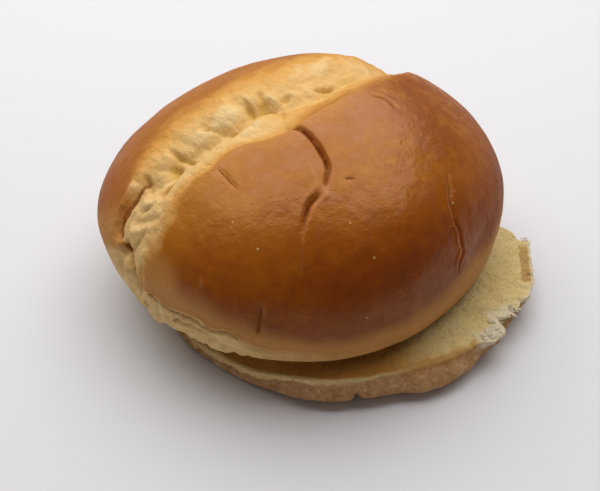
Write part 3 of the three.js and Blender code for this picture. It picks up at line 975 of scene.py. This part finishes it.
def crown_paint():
    """Glazed crust that turns to pale dough in the split, sharply at the front edge and slowly at the back,
    and to tan low on the flanks. The lip, the cracks, the specks and the cut underside go over it."""
    paint = Paint(
        "glazed_crust",
        Subsurface_Weight=0.05,
        Subsurface_Radius=(1.0, 0.4, 0.15),
        Subsurface_Scale=0.002,
        Specular_Tint=(1.0, 0.6, 0.28, 1.0),
        Specular_IOR_Level=0.75,
    )
    front_side, to_back, run, height = paint.fields("front_side", "to_back", "run", "height")
    hollow, ridge, tan, cut = paint.fields("hollow", "ridge", "tan", "cut")
    crack, dark, light = paint.fields("crack", "dark", "light")
    lip, fold, second_fold, above_fold = paint.fields("lip", "fold", "second_fold", "above_fold")
    mottle = paint.noise(8, 4)
    fine = paint.noise(1.6, 4)
    patches = paint.noise(3.5, 3)

    # Where the dough, the front lobe's crust and the back lobe's crust are.
    sharp_front = (front_side + 0.35 * fine).above(-0.4, 0.4)
    soft_front = (front_side + 1.6 * patches + 0.5 * fine).above(-4, 3)
    on_front = sharp_front + run.above(-33, -42) * (soft_front - sharp_front)
    near_edge = (front_side + 0.8 * mottle).above(-5, 0.3)
    soft_back = (to_back + 0.14 * mottle + 0.12 * patches + 0.08 * fine).above(0.28, 1.45)
    sharp_back = (to_back + 0.12 * patches + 0.08 * fine).above(0.05, 0.45)
    on_back = soft_back + run.above(-41.5, -47) * (sharp_back - soft_back)
    raw = (1 - on_front) * (1 - on_back)

    # How far each of them baked, and painted shade low on the front lobe's crust.
    ribbon = to_back.above(0, -0.3) * run.above(-16, -6) * (1 + 0.5 * patches)
    dough = 0.08 + 0.26 * near_edge + 0.05 * fine + 0.17 * ribbon + 0.04 * run.above(-18, 0)
    crust = 0.71 + 0.09 * mottle + 0.09 * patches + 0.05 * fine - 0.1 * front_side.above(7, 0)
    # The last term paints the crust darker below a height of 34 to 47 mm: painted shade on the lower flanks,
    # which face away from the overhead light.
    crust = crust - 0.14 * front_side.above(1.8, 0.2) + 0.17 * (height + 2 * mottle).above(47, 34)
    crust = crust - 0.12 * run.above(-24, -42) * height.above(26, 36) * (1 + 0.6 * mottle)
    crust = crust + run.above(-5, 18) * (0.06 - 0.12 * height.above(50, 40))
    back_crust = 0.60 + 0.06 * mottle + 0.05 * patches + 0.12 * height.above(45, 28)
    bake = dough + on_back * (back_crust - dough)
    bake = bake + on_front * (crust - bake)

    # How much of each coat shows.
    # Tan dough, with painted shade, towards the split's -X end, which faces away from the light.
    end_tan_and_shade = raw * run.above(-33, -50) * (0.65 + 0.3 * patches)
    tanned = (1 - raw) * (tan + 0.2 * patches * tan) * 0.9
    gilded = on_front * front_side.above(15, 3) * run.above(-14, -32) * height.above(24, 32)
    blotches = 2.8 * mottle + 2.4 * patches
    on_top = on_front * height.above(42, 49)
    # Painted sheen: pink patches where the top of the front lobe reflects the overhead light.
    sheen_patches = 0.25 * (0.3 + blotches).limited() * on_top * run.above(16, 2)
    amber = 0.25 * (0.2 - blotches).limited() * on_top
    fold_away = above_fold + 0.3 * patches + 0.15 * fine
    folded_edge = fold * ((fold_away - 0.9) * (fold_away - 0.9)).above(0.3, 0.03)
    # The fold's crease: brown, with painted shade under the fold and in the second fold.
    fold_crease_shade = (fold * (fold_away * fold_away).above(0.25, 0.02) + 0.7 * second_fold).limited()
    dark = dark * (crack * crack * (1 + 0.4 * fine)).above(1.4, 0.1)
    specks = (paint.spots(8, 0.42) + 0.7 * paint.spots(4.6, 0.2)).limited() * on_front
    blemishes = (paint.spots(11, 0.9) + paint.spots(5.7, 0.3)).limited() * on_front
    blemishes = blemishes * patches.above(-0.1, 0.3)
    # Toasted spots on the back lobe's crust.
    toast_and_shade = (paint.spots(6.3, 0.55) + paint.spots(3.9, 0.25)).limited() * soft_back * (1 - on_front)
    lip_colour = paint.ramp(0.5 + 0.45 * patches + 0.4 * fine, *LIP_SHADES)
    cut_colour = paint.ramp(0.5 + 0.25 * mottle + 0.25 * patches + 0.2 * fine, *CUT_SHADES)
    colour = paint.layers(
        paint.ramp(bake, *BAKED),
        # painted shade in the dough's hollows
        (raw * hollow * 0.85, DOUGH_HOLLOW_SHADE),
        (raw * ridge * 0.5, DOUGH_RIDGE),
        (end_tan_and_shade, DOUGH_TAN_AND_SHADE),
        (tanned, CRUST_TAN),
        (lip, lip_colour),
        (0.7 * folded_edge, FOLDED_EDGE),
        (0.4 * gilded * (1 + mottle), GILT),
        (sheen_patches, PAINTED_SHEEN_PINK),
        (amber, AMBER),
        (0.85 * fold_crease_shade, FOLD_CREASE_SHADE),
        (0.85 * dark.above(0.1, 0.45), CRACK_EDGE),
        # the cracks' dark core: deep crust colour with painted shade
        (dark.above(0.5, 0.95), CRACK_CORE_SHADE),
        (light, PALE_LINE),
        (specks * 0.75, SPECK),
        (0.5 * blemishes, BLEMISH),
        (0.45 * toast_and_shade, TOASTED_SPOT),
        (cut, cut_colour),
    )

    far_side = run.above(4, 20) * height.above(48, 36) * on_front
    gloss = bake.above(0.3, 0.65) * (1 - lip) * (1 - 0.75 * tan) * (1 - dark) * (1 - cut)
    gloss = gloss * (1 - 0.35 * run.above(6, 26) * on_front) * (1 - 0.15 * gilded)
    gloss = gloss * (1 - 0.5 * on_back * (1 - on_front)) * (1 - 0.5 * far_side)
    gloss = gloss * (1 - 0.5 * height.above(34, 24))
    roughness = 0.8 - 0.51 * gloss + 0.1 * patches + 0.06 * fine
    rough_relief = 0.2 * fine + 0.1 * paint.noise(0.6, 2, (1, 0.3, 0.3))
    smooth_relief = 0.045 * fine + 0.075 * paint.noise(2.8, 2) + 0.018 * paint.noise(0.6, 1) + 0.1 * specks
    relief = (1 - gloss) * rough_relief + gloss * smooth_relief
    return paint.finish(colour, roughness, relief)


def heel_paint():
    """Cut crumb on the face, thin orange crust at parts of its edge, painted shade on the face where the
    crown overhangs it, and a pale, matt, speckled side with a pale edge and a painted highlight on it where
    the heel is thin, and painted shade at its foot."""
    paint = Paint(
        "pale_crust",
        Subsurface_Weight=0.06,
        Subsurface_Radius=(1.0, 0.5, 0.2),
        Subsurface_Scale=0.002,
        Specular_IOR_Level=0.25,
    )
    side_down, from_edge, torn = paint.fields("side_down", "from_edge", "torn")
    azimuth, height = paint.fields("azimuth", "height")
    mottle = paint.noise(6, 3)
    patches = paint.noise(2.6, 3)
    fine = paint.noise(0.9, 3)
    low_side = azimuth.within(80, 130, 215, 236)
    orange_azimuths = azimuth.within(228, 250, 266, 270)

    edge_line = (from_edge + 0.9 * patches + 0.5 * fine).above(2.2, 0.1) * orange_azimuths
    skin_patch = azimuth.within(299.5, 301.5, 316.5, 319) * (from_edge + 0.5 * fine).above(3.4, 2.9)
    # Painted shade on the face where the crown overhangs it.
    toast_and_shade = azimuth.within(80, 130, 235, 262) * (from_edge + 0.5 * patches).above(0.2, 0.9)
    face = paint.layers(
        paint.ramp(0.5 + 0.3 * mottle + 0.3 * patches + 0.25 * fine, *CRUMB_SHADES),
        (0.75 * edge_line, EDGE_LINE),
        (0.7 * skin_patch * from_edge.above(0.4, 0.8), SKIN_PATCH),
        (0.88 * toast_and_shade, FACE_SHADE_UNDER_CROWN),
        # pale crumb and a painted highlight along the face's rim
        ((from_edge + 0.4 * fine).above(0.7, 0.2) * low_side, PALE_CRUMB_HIGHLIGHT),
    )

    top_band = (side_down + 0.06 * patches).above(0.16, 0.02)
    ragged = 0.09 * patches + 0.09 * fine - 0.1 * azimuth.above(210, 197)
    # Pale crumb and a painted highlight along the top of the side where the heel is thin.
    pale_edge_highlight = (side_down + ragged).above(0.1, 0.04) * low_side
    nick_at = azimuth - NICK["slant"] * side_down + 0.5 * fine
    nick = nick_at.within(227, 228.2, 228.6, 229.8) * (side_down + 0.15 * fine).above(0.1, 0.5)
    side = paint.layers(
        paint.ramp(0.5 + 0.25 * mottle + 0.35 * patches + 0.5 * fine, *SIDE_SHADES),
        (0.55 * top_band * orange_azimuths, SIDE_TOP),
        (pale_edge_highlight * (0.85 + 0.3 * fine), PALE_CRUMB_HIGHLIGHT),
        # painted shade where the side meets the table
        (height.above(0.9, 0), FOOT_SHADE),
        (0.6 * nick, NICK_SHADE),
    )
    colour = paint.layers(face, (side_down.above(0, 0.04), side), (torn, TORN_WHITE))
    on_face = side_down.above(0.05, 0)
    relief = on_face * (0.16 * fine + 0.08 * paint.noise(0.45, 2)) + 0.14 * fine
    return paint.finish(colour, 0.85 + 0.04 * fine, relief)


def torn_paint():
    """Fresh white crumb."""
    paint = Paint(
        "torn_white_crumb",
        Subsurface_Weight=0.2,
        Subsurface_Radius=(1.0, 0.6, 0.3),
        Subsurface_Scale=0.002,
    )
    fine = paint.noise(0.7, 3)
    colour = paint.ramp(0.5 + 0.5 * fine, *WHITE_SHADES)
    return paint.finish(colour, 0.85 + 0.03 * fine, 0.15 * fine)


# ---- The table, the light and the camera ----


def make_table():
    """A plain pale table top, far wider than the view."""
    half = 2.0
    corners = np.array([[-half, -half, 0], [half, -half, 0], [half, half, 0], [-half, half, 0]]) / MM
    table = build("table_top", corners, [np.array([[0, 1, 2, 3]])], {})
    paint = Paint("pale_table", Specular_IOR_Level=0.3)
    paint.plug(paint.shader.inputs["Base Color"], (0.77, 0.77, 0.80))
    paint.plug(paint.shader.inputs["Roughness"], 0.6)
    table.data.materials.append(paint.material)


def make_light(name, middle, turn, size, watts, colour):
    """A soft rectangular light that shines straight down from that place, in metres, turned about Z."""
    lamp = bpy.data.lights.new(name, "AREA")
    lamp.shape = "RECTANGLE"
    lamp.size, lamp.size_y = size
    lamp.energy = watts
    lamp.color = colour
    light = bpy.data.objects.new(name, lamp)
    bpy.context.scene.collection.objects.link(light)
    light.location = middle
    light.rotation_euler = (0, 0, turn)


def make_camera(azimuth, elevation, distance, aim, lens):
    """A camera that far from its aim, in metres, looking down on it from that azimuth and elevation."""
    a, e = math.radians(azimuth), math.radians(elevation)
    back = Vector((math.sin(a) * math.cos(e), -math.cos(a) * math.cos(e), math.sin(e)))
    camera = bpy.data.objects.new("camera", bpy.data.cameras.new("camera"))
    bpy.context.scene.collection.objects.link(camera)
    camera.data.lens = lens
    camera.data.clip_start = 0.01
    camera.location = Vector(aim) + back * distance
    camera.rotation_euler = (-back).to_track_quat("-Z", "Y").to_euler()
    bpy.context.scene.camera = camera


VIEW_AZIMUTH = -42.0


def make_studio():
    """The table, a broad light overhead beyond the roll as the camera sees it, a dim room, the camera."""
    make_table()
    a = math.radians(VIEW_AZIMUTH)
    away = np.array([-math.sin(a), math.cos(a)])
    right = np.array([math.cos(a), math.sin(a)])
    over = 0.34 * away - 0.05 * right
    make_light("overhead", (*over, 0.60), a, (1.1, 0.90), 7.55, (1.0, 0.985, 0.97))
    world = bpy.data.worlds.new("room")
    bpy.context.scene.world = world
    world.use_nodes = True
    world.node_tree.nodes["Background"].inputs["Color"].default_value = (1.0, 0.95, 0.92, 1.0)
    world.node_tree.nodes["Background"].inputs["Strength"].default_value = 0.15
    bpy.context.scene.view_settings.view_transform = "Standard"
    make_camera(VIEW_AZIMUTH, 39.5, 0.22125, (-0.0133, 0.0038, 0.014), 50)


# ---- The roll ----


def show(piece, material, slot, *replaced):
    piece.data.materials.append(material)
    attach(piece, "root")
    if replaced:
        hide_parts(*replaced)


show(make_crown(), crown_paint(), "glazed_crust", "crown")
show(make_heel(), heel_paint(), "pale_crust", "heel")
show(make_torn_crumb(), torn_paint(), "pale_crust")
make_studio()
